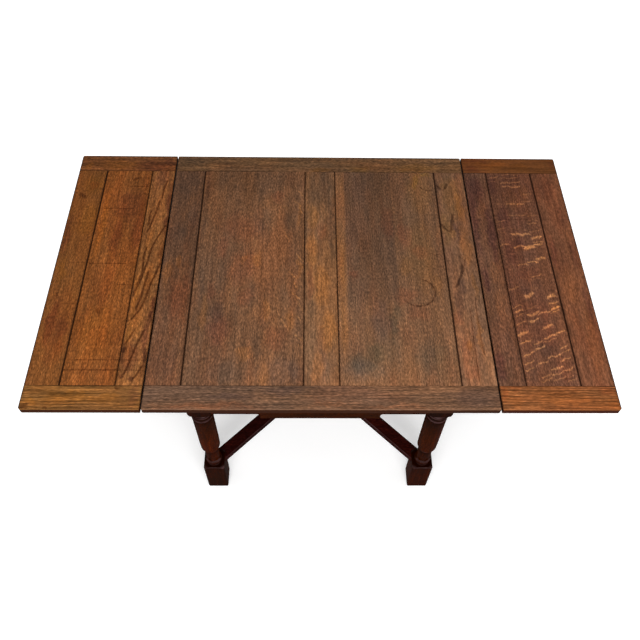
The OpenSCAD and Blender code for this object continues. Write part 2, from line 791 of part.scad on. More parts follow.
// Braces across the inner corners of the frame
module corner_braces() {
    color(inner_colour) for (sx = [-1, 1], sy = [-1, 1])
        scale_sign(sx, sy) difference() {
            translate([0, 0, brace_z]) linear_extrude(brace_h) polygon([
                [brace_sum - apron_in_y, apron_in_y],
                [brace_sum - brace_w - apron_in_y, apron_in_y],
                [apron_in_x, brace_sum - brace_w - apron_in_x],
                [apron_in_x, brace_sum - apron_in_x]]);
            brace_axis() translate([0, 0, -brace_t - 1]) cylinder(r = coach_r + fit / 2, h = brace_t + 2);
        }
}

// Quadrant of a corner: mirrors the +X +Y corner to the signs sx and sy
module scale_sign(sx, sy) {
    mirror([sx < 0 ? 1 : 0, 0, 0]) mirror([0, sy < 0 ? 1 : 0, 0]) children();
}

// Frame of a coach screw: origin where it enters the leg's corner, +Z into the leg
module brace_axis() {
    translate([leg_x - leg_half, leg_y - leg_half, brace_z + brace_h / 2]) rotate([0, 90, 45]) children();
}

// Hexagon-headed coach screws through the braces into the legs
module corner_brace_screws() {
    color(steel_colour) for (sx = [-1, 1], sy = [-1, 1])
        scale_sign(sx, sy) brace_axis() {
            translate([0, 0, -brace_t]) cylinder(r = coach_r, h = coach_l);
            translate([0, 0, -brace_t - coach_head_t]) cylinder(r = 2 * coach_r, h = coach_head_t, $fn = 6);
        }
}

front_left_leg();
front_right_leg();
back_left_leg();
back_right_leg();
front_apron();
back_apron();
left_end_rail();
right_end_rail();
guide_rail();
centre_board();
centre_board_screws();
lower_stretcher();
upper_stretcher();
stretcher_dowel();
corner_braces();
corner_brace_screws();
top_front_rail();
top_back_rail();
top_left_stile();
top_right_stile();
top_muntin();
top_left_panel();
top_right_panel();
top_pegs();
left_leaf_front_rail();
left_leaf_back_rail();
left_leaf_inner_stile();
left_leaf_outer_stile();
left_leaf_panel();
left_leaf_front_bearer();
left_leaf_back_bearer();
left_leaf_screws();
left_leaf_stop_pins();
right_leaf_front_rail();
right_leaf_back_rail();
right_leaf_inner_stile();
right_leaf_outer_stile();
right_leaf_panel();
right_leaf_front_bearer();
right_leaf_back_bearer();
right_leaf_screws();
right_leaf_stop_pins();
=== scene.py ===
import math

import bpy
from mathutils import Matrix, Vector


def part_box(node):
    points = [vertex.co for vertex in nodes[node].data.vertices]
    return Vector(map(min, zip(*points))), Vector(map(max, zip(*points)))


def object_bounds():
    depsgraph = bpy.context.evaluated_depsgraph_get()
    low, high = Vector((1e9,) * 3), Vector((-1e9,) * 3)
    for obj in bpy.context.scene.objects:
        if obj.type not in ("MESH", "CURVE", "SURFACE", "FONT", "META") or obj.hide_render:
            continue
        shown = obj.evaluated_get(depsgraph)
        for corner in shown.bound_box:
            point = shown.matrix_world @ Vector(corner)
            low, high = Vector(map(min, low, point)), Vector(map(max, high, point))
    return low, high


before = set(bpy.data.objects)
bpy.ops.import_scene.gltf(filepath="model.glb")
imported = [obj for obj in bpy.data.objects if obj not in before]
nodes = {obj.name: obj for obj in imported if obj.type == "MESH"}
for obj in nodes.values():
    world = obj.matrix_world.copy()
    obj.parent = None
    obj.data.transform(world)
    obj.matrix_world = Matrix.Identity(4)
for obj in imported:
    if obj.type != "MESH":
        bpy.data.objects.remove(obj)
cad_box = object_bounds()

TABLE_HEIGHT = cad_box[1][2]
PLAN_MM = (1000.0, 1000.0, 0.0)             # metres to millimetres on the floor's axes, without the height
WHITE = (1.0, 1.0, 1.0, 1.0)
MIX_A, MIX_B, MIX_RESULT = 6, 7, 2          # the colour sockets of a mix node


# Colours

def linear(hexa):
    """An sRGB hex colour as linear RGBA."""
    out = []
    for i in (0, 2, 4):
        c = int(hexa[i:i + 2], 16) / 255
        out.append(c / 12.92 if c <= 0.04045 else ((c + 0.055) / 1.055) ** 2.4)
    return (*out, 1.0)


def toned(colour, by):
    """A linear colour times a number for each of red, green and blue."""
    return (*[c * b for c, b in zip(colour, by)], 1.0)


# Node building

class Shader:
    """The node tree of a material or the world, with one short method per kind of node."""

    def __init__(self, owner, output="ShaderNodeOutputMaterial"):
        owner.use_nodes = True
        self.owner = owner
        self.tree = owner.node_tree
        self.tree.nodes.clear()
        self.output = self.node(output)

    def node(self, kind, **options):
        made = self.tree.nodes.new(kind)
        for key, value in options.items():
            setattr(made, key, value)
        return made

    def put(self, socket, value):
        if isinstance(value, bpy.types.NodeSocket):
            self.tree.links.new(value, socket)
        else:
            socket.default_value = value

    def surface(self, shader):
        self.put(self.output.inputs["Surface"], shader.outputs[0])

    def math(self, operation, a, b=0.0, c=0.0, clamp=False):
        made = self.node("ShaderNodeMath", operation=operation, use_clamp=clamp)
        for socket, value in zip(made.inputs, (a, b, c)):
            self.put(socket, value)
        return made.outputs[0]

    def add(self, total, layer, strength):
        """The total with a layer added, times its strength."""
        return self.math("MULTIPLY_ADD", layer, strength, total)

    def product(self, *values):
        result = values[0]
        for value in values[1:]:
            result = self.math("MULTIPLY", result, value)
        return result

    def highest(self, values):
        """The highest value; a generator builds its values one by one, which spares the shader's stack."""
        result = None
        for value in values:
            result = value if result is None else self.math("MAXIMUM", result, value)
        return result

    def vector(self, operation, a, b=(0.0, 0.0, 0.0)):
        made = self.node("ShaderNodeVectorMath", operation=operation)
        self.put(made.inputs[0], a)
        self.put(made.inputs["Scale" if operation == "SCALE" else 1], b)
        return made.outputs["Value" if operation in ("LENGTH", "DOT_PRODUCT") else "Vector"]

    def split(self, vector):
        made = self.node("ShaderNodeSeparateXYZ")
        self.put(made.inputs[0], vector)
        return made.outputs

    def join(self, x, y, z):
        made = self.node("ShaderNodeCombineXYZ")
        for socket, value in zip(made.inputs, (x, y, z)):
            self.put(socket, value)
        return made.outputs[0]

    def noise(self, at, scale, detail=2.0, roughness=0.5, distortion=0.0, out="Fac"):
        """Noise around 0.5; scale is in cycles per unit of the place, one for all axes or one for each."""
        if isinstance(scale, float):
            scale = (scale, scale, scale)
        made = self.node("ShaderNodeTexNoise", noise_dimensions="3D")
        self.put(made.inputs["Vector"], self.vector("MULTIPLY", at, scale))
        self.put(made.inputs["Scale"], 1.0)
        self.put(made.inputs["Detail"], detail)
        self.put(made.inputs["Roughness"], roughness)
        self.put(made.inputs["Distortion"], distortion)
        return made.outputs[out]

    def swing(self, *noise, **options):
        """The same noise around 0."""
        return self.math("SUBTRACT", self.noise(*noise, **options), 0.5)

    def pushed(self, at, point, scale, detail, reach):
        """The place at, pushed about by noise as far as reach, so that no outline is drawn with a ruler."""
        push = self.vector("SUBTRACT", self.noise(point, scale, detail, 0.6, out="Color"), (0.5, 0.5, 0.5))
        return self.vector("ADD", at, self.vector("MULTIPLY", push, reach))

    def remap(self, value, low, high, to_low=0.0, to_high=1.0, smooth=True):
        made = self.node("ShaderNodeMapRange", interpolation_type="SMOOTHSTEP" if smooth else "LINEAR")
        for socket, number in zip(made.inputs, (value, low, high, to_low, to_high)):
            self.put(socket, number)
        return made.outputs[0]

    def between(self, value, low, high, outside, inside):
        """1 between low and high, fading over a stretch outside and inside each of them."""
        return self.product(self.remap(value, low - outside, low + inside),
                            self.remap(value, high - inside, high + outside, 1.0, 0.0))

    def mix(self, factor, a, b, blend="MIX"):
        made = self.node("ShaderNodeMix", data_type="RGBA", blend_type=blend, clamp_factor=True)
        self.put(made.inputs["Factor"], factor)
        self.put(made.inputs[MIX_A], a)
        self.put(made.inputs[MIX_B], b)
        return made.outputs[MIX_RESULT]

    def multiply(self, colour, by):
        return self.mix(1.0, colour, by, "MULTIPLY")

    def lit(self, colour, value):
        """The colour times one value."""
        return self.multiply(colour, self.join(value, value, value))

    def tint(self, colour, mask, by):
        """The colour times by where the mask is 1."""
        return self.multiply(colour, self.mix(mask, WHITE, (*by, 1.0)))

    def curve(self, value, points, handles="AUTO"):
        """A curve through points (place, height), with both from 0 to 1."""
        made = self.node("ShaderNodeFloatCurve")
        line = made.mapping.curves[0]
        line.points[0].location = points[0]
        line.points[1].location = points[-1]
        for point in points[1:-1]:
            line.points.new(*point)
        for point in line.points:
            point.handle_type = handles
        made.mapping.update()
        self.put(made.inputs["Value"], value)
        return made.outputs[0]

    def seen(self):
        """1 for what the camera sees, also in gloss or through glass, and 0 for what lights the object."""
        path = self.node("ShaderNodeLightPath")
        rays = ("Is Camera Ray", "Is Glossy Ray", "Is Transmission Ray")
        return self.highest(path.outputs[ray] for ray in rays)

    def finish(self, colour, roughness, relief, bump,
               specular=0.0, metallic=0.0, coat=0.0, coat_roughness=0.3):
        """The finished material; bump is the depth of its relief in metres."""
        shader = self.node("ShaderNodeBsdfPrincipled")
        raised = self.node("ShaderNodeBump")
        for socket, value in (("Strength", 1.0), ("Distance", bump), ("Height", relief)):
            self.put(raised.inputs[socket], value)
        for socket, value in (
                ("Base Color", colour), ("Roughness", roughness), ("Normal", raised.outputs[0]),
                ("Specular IOR Level", specular), ("Metallic", metallic),
                ("Coat Weight", coat), ("Coat Roughness", coat_roughness)):
            self.put(shader.inputs[socket], value)
        self.surface(shader)
        return self.owner


# Oak

OAK = dict(
    fine=1.0, streak=1.0, mottle=0.6, broad=0.4, stripe=0.0,    # strength of each layer of the figure
    grit=(105.0, 320.0), band=(4.0, 105.0),                     # cycles of fibres and stripes, as in FIGURE
    rings=0.12, ring=0.0032, wobble=1.0,                        # growth rings: strength, width, unevenness
    warm=(1.07, 1.01, 0.90), cool=(0.94, 0.985, 1.06),          # light and dark parts of the stain
    flecks=0.0,                                                 # rays cut lengthwise
    seams=(), cross_seams=(), marks=(), rise=None,              # joints (painted shade at the leaf gaps and rims), single marks, tone by height (partly painted light and shade on the legs)
    edge=(0.15, 0.065, 0.02), side=0.97,                        # tone and strength of the upright faces
    arris=(0.60, 0.85), rub_and_highlight=1.2, worn_highlight=None,                  # the arrises between them and the top; the front ones lightened as rubbing and a painted highlight
    rough=0.48, bump=0.00012, coat=0.06, coat_roughness=0.30,   # the wax is the only gloss
)

# Noise that makes up the figure: cycles per metre along and across the grain, detail, roughness, distortion
FIGURE = dict(
    drift=((2.2, 9.0), 2.0, 0.55),
    waver=((7.0, 34.0), 2.0, 0.5),
    streak=((8.0, 130.0), 2.0, 0.55),
    mottle=((20.0, 55.0), 2.0, 0.55, 0.4),
    broad=((1.7, 5.0), 1.0, 0.4),
    pores=((85.0, 1500.0), 2.0, 0.6),
    hue=((3.0, 13.0), 2.0, 0.6),
    red=((4.0, 16.0), 2.0, 0.6),
)
# Layers that are moved, so that they don't follow the others
ASIDE = dict(broad=(5.1, 2.3, 0.0), hue=(9.4, 6.1, 2.7), red=(1.7, 8.9, 3.1))
# Light that each layer adds, in stops, and its height in the relief
STOPS = dict(fibre=4.2, streak=2.0, mottle=0.9, broad=1.9, stripe=2.2, pores=-0.25)
RELIEF = dict(fibre=0.6, pores=-0.6, early=-0.25, fleck=0.3, dark_mark=-0.7, pale_mark=0.2)
SEED_STEP = (3.7, 1.3, 0.9)                 # metres that a seed of 1 moves the whole figure by

PITH = (0.25, 0.63)                         # the tree's middle, across and through the boards
DRIFT, WAVER = 0.030, 0.0050                # metres that the rings stray, slowly and quickly
EARLY_FROM, EARLY_TO = (0.0, 0.10), (0.16, 0.62)    # shares of a ring in which its early wood comes and goes
EARLY_MEAN = 0.32                           # mean of the early wood's mask

# Levels of noise between which these come in
PORE, REDDER, FLECK, FLECKED, BREAK, PATCH = (
    (0.57, 0.68), (0.46, 0.62), (0.58, 0.67), (0.38, 0.56), (0.30, 0.58), (0.35, 0.60))

HUE_OF_LIGHT, HUE_ALONE = 0.15, 2.2         # how far light, and noise of its own, make the stain warmer
COOLEST, WARMEST = -0.6, 0.6
RED, RED_SHARE = (1.05, 0.92, 0.88), 0.6    # the redder parts of the stain, and their strength
FLECK_TINT = (1.9, 1.9, 1.6)
RISE_REACH = 2.0                            # a rise of 1 makes the tone twice as light

JITTER = 0.0020                             # unevenness of seams, in metres
GRIME_AND_SHADE, GRIME_AND_SHADE_REACH = 0.22, 3.5              # darkening beside a seam, soil beside the joints and painted shade beside the leaf gaps and outer rims, and its reach in half widths of the seam
DIRT_AND_SHADE, DIRT_AND_SHADE_SHARE = "1f1008", 0.90           # dark colour in the seams, soil in the joints and painted shade in the leaf gaps and along the outer rims, and its strength
ARRIS_TONE, ARRIS_SHARE = 0.45, 0.6         # darker tone of the arrises all round, and its strength
END_SHARE = 0.5                             # strength of the dark tone on end grain
SMOOTHER, ROUGHER = -0.06, 0.12             # change of roughness in closed and in porous wood

# How far a face looks upwards, backwards or along the grain where these looks begin and end
MARKED, UPRIGHT, LEVEL, FRONT, END = (0.5, 0.9), (0.45, 0.80), (0.93, 0.998), (-0.35, -0.12), (0.75, 0.95)

# Marks, in millimetres: how far noise pushes spots and lines, soft sides and ends, and the course of rays
SPOT_PUSH, LINE_PUSH = (38.0, 60.0, 0.0), (5.0, 4.0, 0.0)
CORE, SIDES = 0.2, 0.8                      # shares of a line's width
SPOT_FADE = (0.35, 1.1)                     # shares of a spot's radii
ARC_FADE = (-0.08, 0.15)                    # cosines about an arc's ends
VEIN_ENDS, STRIP_SIDES, RAY_ENDS = (3.0, 12.0), (2.0, 2.0), (2.0, 4.0)
RAY_WAVE, RAY_RAGGED = 22.0, 26.0
RAY_BACK = 200                              # rays behind this line are finer
RAY_STEP, RAY_STEP_BACK = 1.35, 1.195       # half width of a ray of size 1, before and behind it

# Axes that run along, across and through a board, by the way of its grain
GRAIN_AXES = {"x": (0, 1, 2), "y": (1, 0, 2), "z": (2, 0, 1)}


class Oak(Shader):
    """Stained and waxed oak whose grain runs along one axis of the frame."""

    def __init__(self, name, tone, grain, seed, changes):
        super().__init__(bpy.data.materials.new(name))
        self.look = dict(OAK, **changes)
        self.noises = dict(FIGURE, fibre=(self.look["grit"], 2.0, 0.6),
                           stripe=(self.look["band"], 2.0, 0.6, 0.3))
        self.base = linear(tone)
        self.seed = seed
        source = self.node("ShaderNodeTexCoord")
        self.point = source.outputs["Object"]
        place = self.split(self.point)
        normal = self.split(source.outputs["Normal"])
        self.x, self.y, self.z = place
        self.facing_back, self.facing_up = normal[1], normal[2]
        along, across, deep = GRAIN_AXES[grain]
        self.along, self.across, self.deep = place[along], place[across], place[deep]
        self.end_on = self.math("ABSOLUTE", normal[along])
        self.grain = self.vector("ADD", self.join(self.along, self.across, self.deep),
                                 tuple(seed * step for step in SEED_STEP))

    def layer(self, part, around_zero=True):
        """One layer of the figure: noise drawn out along the grain."""
        (along, across), *shape = self.noises[part]
        at = self.vector("ADD", self.grain, ASIDE[part]) if part in ASIDE else self.grain
        make = self.swing if around_zero else self.noise
        return make(at, (along, across, across), *shape)

    def early_wood(self):
        """1 in the porous part of each growth ring."""
        drift = self.layer("drift")
        waver = self.layer("waver")
        across = self.math("SUBTRACT", self.across, PITH[0])
        deep = self.math("SUBTRACT", self.deep, PITH[1])
        radius = self.vector("LENGTH", self.join(across, deep, 0.0))
        radius = self.add(radius, drift, DRIFT * self.look["wobble"])
        radius = self.add(radius, waver, WAVER * self.look["wobble"])
        turn = self.math("FRACT", self.math("DIVIDE", radius, self.look["ring"]))
        return self.math("MULTIPLY", self.remap(turn, *EARLY_FROM), self.remap(turn, *EARLY_TO, 1.0, 0.0))

    def grow(self):
        """Rings, fibres, pores and slower changes, added up in stops of light."""
        look = self.look
        self.early = self.early_wood()
        self.fibre = self.layer("fibre")
        streak = self.layer("streak")
        mottle = self.layer("mottle")
        self.broad = self.layer("broad")
        pores = self.remap(self.layer("pores", around_zero=False), *PORE)
        self.pores = self.math("MULTIPLY", pores, self.remap(self.early, 0.0, 0.6, 0.35, 1.0))
        slow = self.math("MULTIPLY", self.broad, STOPS["broad"] * look["broad"])
        self.slow = self.add(slow, mottle, STOPS["mottle"] * look["mottle"])
        light = self.add(self.slow, self.fibre, STOPS["fibre"] * look["fine"])
        light = self.add(light, streak, STOPS["streak"] * look["streak"])
        light = self.add(light, self.math("SUBTRACT", self.early, EARLY_MEAN), -look["rings"])
        light = self.add(light, self.pores, STOPS["pores"])
        if look["stripe"]:
            light = self.add(light, self.layer("stripe"), STOPS["stripe"] * look["stripe"])
        self.light = light
        self.colour = self.lit(self.base, self.math("POWER", 2.0, light))

    def stain(self):
        """Light parts are warmer, dark ones cooler, and some of the stain is redder; where a tone by height
        is given, on the legs, it is partly painted light and shade.
        """
        look = self.look
        warmth = self.add(self.slow, self.light, HUE_OF_LIGHT)
        warmth = self.add(warmth, self.layer("hue"), HUE_ALONE)
        warmth = self.remap(warmth, COOLEST, WARMEST)
        hue = self.mix(warmth, (*look["cool"], 1.0), (*look["warm"], 1.0))
        self.colour = self.multiply(self.colour, hue)
        redder = self.remap(self.layer("red", around_zero=False), *REDDER)
        self.colour = self.tint(self.colour, self.math("MULTIPLY", redder, RED_SHARE), RED)
        # Tone by height; on the legs partly painted shade under the top and in the turned hollows, and
        # painted light on the column's middle.
        if look["rise"]:
            rise = self.curve(self.remap(self.z, 0.0, TABLE_HEIGHT, smooth=False), look["rise"])
            self.colour = self.lit(self.colour, self.math("MULTIPLY", rise, RISE_REACH))

    def emboss(self):
        """Relief from fibres, pores and early wood."""
        relief = self.math("MULTIPLY", self.fibre, RELIEF["fibre"])
        relief = self.add(relief, self.pores, RELIEF["pores"])
        self.relief = self.add(relief, self.early, RELIEF["early"])

    def fleck(self):
        """Pale rays that the saw cut lengthwise."""
        bent = self.add(self.along, self.swing(self.grain, 9.0, 1.0), 0.05)
        at = self.vector("ADD", self.join(bent, self.across, 0.0), (self.seed,) * 3)
        fleck = self.remap(self.noise(at, (105.0, 22.0, 1.0), 2.0, 0.55), *FLECK)
        flecked = self.remap(self.noise(self.grain, (7.0, 10.0, 10.0), 1.0), *FLECKED)
        fleck = self.math("MULTIPLY", fleck, flecked)
        self.colour = self.tint(self.colour, self.math("MULTIPLY", fleck, self.look["flecks"]), FLECK_TINT)
        self.relief = self.add(self.relief, fleck, RELIEF["fleck"])

    def mark(self):
        """What use and the tree left in single places."""
        top_side = self.remap(self.facing_up, *MARKED)
        place = self.vector("MULTIPLY", self.point, PLAN_MM)
        loose = self.pushed(place, self.point, 26.0, 3.0, SPOT_PUSH)
        tight = self.pushed(place, self.point, 85.0, 2.0, LINE_PUSH)
        broken = self.remap(self.noise(self.point, 120.0, 2.0), *BREAK, 0.35, 1.0)
        for kind, by, amount, *width, shapes in self.look["marks"]:
            at = loose if kind == "spot" else tight
            mask = self.highest(getattr(self, kind)(at, shape, *width) for shape in shapes)
            if kind in ("score", "arc"):
                mask = self.math("MULTIPLY", mask, broken)
                depth = RELIEF["dark_mark" if by[0] < 1.0 else "pale_mark"]
                self.relief = self.add(self.relief, mask, depth)
            self.colour = self.tint(self.colour, self.product(mask, top_side, amount), by)

    def wear_and_painted_light(self):
        """Edges and ends are darker; front arrises are lightened as rubbing and a painted highlight; seams
        are darkened as soil in the joints and painted shade at the leaf gaps and outer rims.
        """
        look, up = self.look, self.facing_up
        jitter = self.math("MULTIPLY", self.swing(self.point, 60.0, 2.0), JITTER)
        edge = toned(self.base, look["edge"])
        upright = self.math("MULTIPLY", self.remap(up, *UPRIGHT, 1.0, 0.0), look["side"])
        colour = self.mix(upright, self.colour, edge)
        arris = self.math("MULTIPLY", self.remap(up, *look["arris"]), self.remap(up, *LEVEL, 1.0, 0.0))
        patchy = self.remap(self.noise(self.point, 22.0, 2.0), *PATCH, 0.3, 0.9)
        # Arrises that face up and to the front are lightened in patches: partly rubbing, partly a painted
        # highlight standing in for glints on beads, rings and chamfers.
        front = self.math("MULTIPLY", arris, self.remap(self.facing_back, *FRONT, 1.0, 0.0))
        around = toned(self.base, (ARRIS_TONE,) * 3)
        colour = self.mix(self.math("MULTIPLY", arris, ARRIS_SHARE), colour, around)
        worn_highlight = linear(look["worn_highlight"]) if look["worn_highlight"] else toned(self.base, (look["rub_and_highlight"],) * 3)
        colour = self.mix(self.math("MULTIPLY", front, patchy), colour, worn_highlight)
        seams = [(self.x, *seam) for seam in look["seams"]]
        seams += [(self.y, *seam) for seam in look["cross_seams"]]
        # Dark seam lines: soil in the joints, painted shade in the leaf gaps and along the outer rims.
        if seams:
            dirt_and_shade = self.highest(self.seam(jitter, *seam) for seam in seams)
            colour = self.mix(self.math("MULTIPLY", dirt_and_shade, DIRT_AND_SHADE_SHARE), colour, linear(DIRT_AND_SHADE))
        self.colour = self.mix(self.remap(self.end_on, *END, 0.0, END_SHARE), colour, edge)

    def wax(self):
        """The finished material, rougher where the wood is porous."""
        look = self.look
        rough = self.remap(self.add(self.broad, self.pores, 0.5), -0.2, 0.5,
                           look["rough"] + SMOOTHER, look["rough"] + ROUGHER)
        return self.finish(self.colour, rough, self.relief, look["bump"],
                           coat=look["coat"], coat_roughness=look["coat_roughness"])

    def seam(self, jitter, across, place, half):
        """The dark line of a joint, with darkening that fades beside it; at the leaf gaps and outer rims
        both are painted shade; all in metres.
        """
        gap = self.math("ADD", self.math("ABSOLUTE", self.math("SUBTRACT", across, place)), jitter)
        line = self.remap(gap, half * 0.75, half * 1.35, 1.0, 0.0)
        grime_and_shade = self.remap(self.add(gap, jitter, 4.0), half, half * GRIME_AND_SHADE_REACH, GRIME_AND_SHADE, 0.0)
        return self.math("MAXIMUM", line, grime_and_shade)

    # Marks, seen from above

    def stroke(self, gap, width):
        """A line with soft sides, from the distance to its middle."""
        return self.remap(gap, width * CORE, width * SIDES, 1.0, 0.0)

    def in_radii(self, at, x, y, rx, ry):
        """The place seen from an ellipse's middle, in its radii."""
        return self.vector("DIVIDE", self.vector("SUBTRACT", at, (x, y, 0.0)), (rx, ry, 1.0))

    def score(self, at, shape, width):
        """A straight line from one point to another: (x0, y0, x1, y1)."""
        x0, y0, x1, y1 = shape
        along = (x1 - x0, y1 - y0, 0.0)
        offset = self.vector("SUBTRACT", at, (x0, y0, 0.0))
        share = self.math("DIVIDE", self.vector("DOT_PRODUCT", offset, along),
                          along[0] ** 2 + along[1] ** 2, clamp=True)
        nearest = self.vector("SCALE", along, share)
        return self.stroke(self.vector("LENGTH", self.vector("SUBTRACT", offset, nearest)), width)

    def vein(self, at, shape, width):
        """A smooth line through points (x, y), along the grain."""
        points = sorted(shape, key=lambda point: point[1])
        low_y, high_y = points[0][1], points[-1][1]
        low_x = min(point[0] for point in points) - 1.0
        high_x = max(point[0] for point in points) + 1.0
        bends = [((y - low_y) / (high_y - low_y), (x - low_x) / (high_x - low_x)) for x, y in points]
        x, y, _ = self.split(at)
        path = self.curve(self.remap(y, low_y, high_y, smooth=False), bends)
        path = self.math("MULTIPLY_ADD", path, high_x - low_x, low_x)
        line = self.stroke(self.math("ABSOLUTE", self.math("SUBTRACT", x, path)), width)
        return self.math("MULTIPLY", line, self.between(y, low_y, high_y, *VEIN_ENDS))

    def spot(self, at, shape):
        """An ellipse that fades towards its edge: (x, y, radius along x, radius along y)."""
        return self.remap(self.vector("LENGTH", self.in_radii(at, *shape)), *SPOT_FADE, 1.0, 0.0)

    def arc(self, at, shape, width):
        """Part of an ellipse's line: (x, y, radius x, radius y, middle angle, half its spread)."""
        *ellipse, middle, spread = shape
        offset = self.in_radii(at, *ellipse)
        gap = self.math("ABSOLUTE", self.math("SUBTRACT", self.vector("LENGTH", offset), 1.0))
        line = self.stroke(gap, 2.0 * width / (ellipse[2] + ellipse[3]))
        toward = (math.cos(math.radians(middle)), math.sin(math.radians(middle)), 0.0)
        turn = self.vector("DOT_PRODUCT", self.vector("NORMALIZE", offset), toward)
        edge = math.cos(math.radians(spread))
        return self.math("MULTIPLY", line, self.remap(turn, edge + ARC_FADE[0], edge + ARC_FADE[1]))

    def strip(self, at, shape, width):
        """A board glued in beside its neighbours: (x0, x1, y0, y1); the width is the fade of its ends."""
        x0, x1, y0, y1 = shape
        x, y, _ = self.split(at)
        sides = self.between(x, x0, x1, *STRIP_SIDES)
        return self.math("MULTIPLY", sides, self.between(y, y0, y1, width, width))

    def rays(self, at, shape):
        """Short lines across the grain: (x0, x1, lean, y0, y1, lines), each line (y, size, strength)."""
        x0, x1, lean, y0, y1, lines = shape
        x, y, _ = self.split(at)
        level = self.add(y, self.math("SUBTRACT", x, 0.5 * (x0 + x1)), -lean)
        level = self.add(level, self.swing(at, (0.05, 0.03, 0.0), 2.0, 0.6), RAY_WAVE)
        places = [line[0] for line in lines]
        points = [(0.0, 0.0)]
        for place, size, strength in sorted(lines):
            half = size * (RAY_STEP if place < RAY_BACK else RAY_STEP_BACK)
            half = min([half] + [0.48 * abs(place - other) for other in places if other != place])
            for step, height in ((-half, 0.0), (0.0, strength), (half, 0.0)):
                points.append(((place + step - y0) / (y1 - y0), height))
        points.append((1.0, 0.0))
        line = self.curve(self.remap(level, y0, y1, smooth=False), points, "VECTOR")
        ragged = self.add(x, self.swing(at, (0.01, 0.07, 0.0), 1.0), RAY_RAGGED)
        window = self.between(ragged, x0, x1, *RAY_ENDS)
        return self.math("MULTIPLY", self.remap(line, 0.05, 0.85), window)


def oak(name, tone, grain, seed, **changes):
    """Oak of a tone, with its grain along an axis, a seed for its figure and changes to OAK."""
    wood = Oak(name, tone, grain, seed, changes)
    wood.grow()
    wood.stain()
    wood.emboss()
    if wood.look["flecks"]:
        wood.fleck()
    if wood.look["marks"]:
        wood.mark()
    wood.wear_and_painted_light()
    return wood.wax()


def dress(material, *names):
    """Gives every material slot of some CAD nodes the same finished material."""
    for name in names:
        for slot in nodes[name].material_slots:
            slot.material = material


# Marks: kind, tint, strength, width of a line, and shapes, in millimetres on the floor's axes

DARK = (0.42, 0.36, 0.34)
PURPLE = (0.70, 0.62, 0.78)
GREY = (0.78, 0.85, 0.95)
ORANGE = (1.36, 1.20, 0.90)
REDDISH = (1.04, 0.86, 0.82)
PALE = (1.65, 1.60, 1.35)

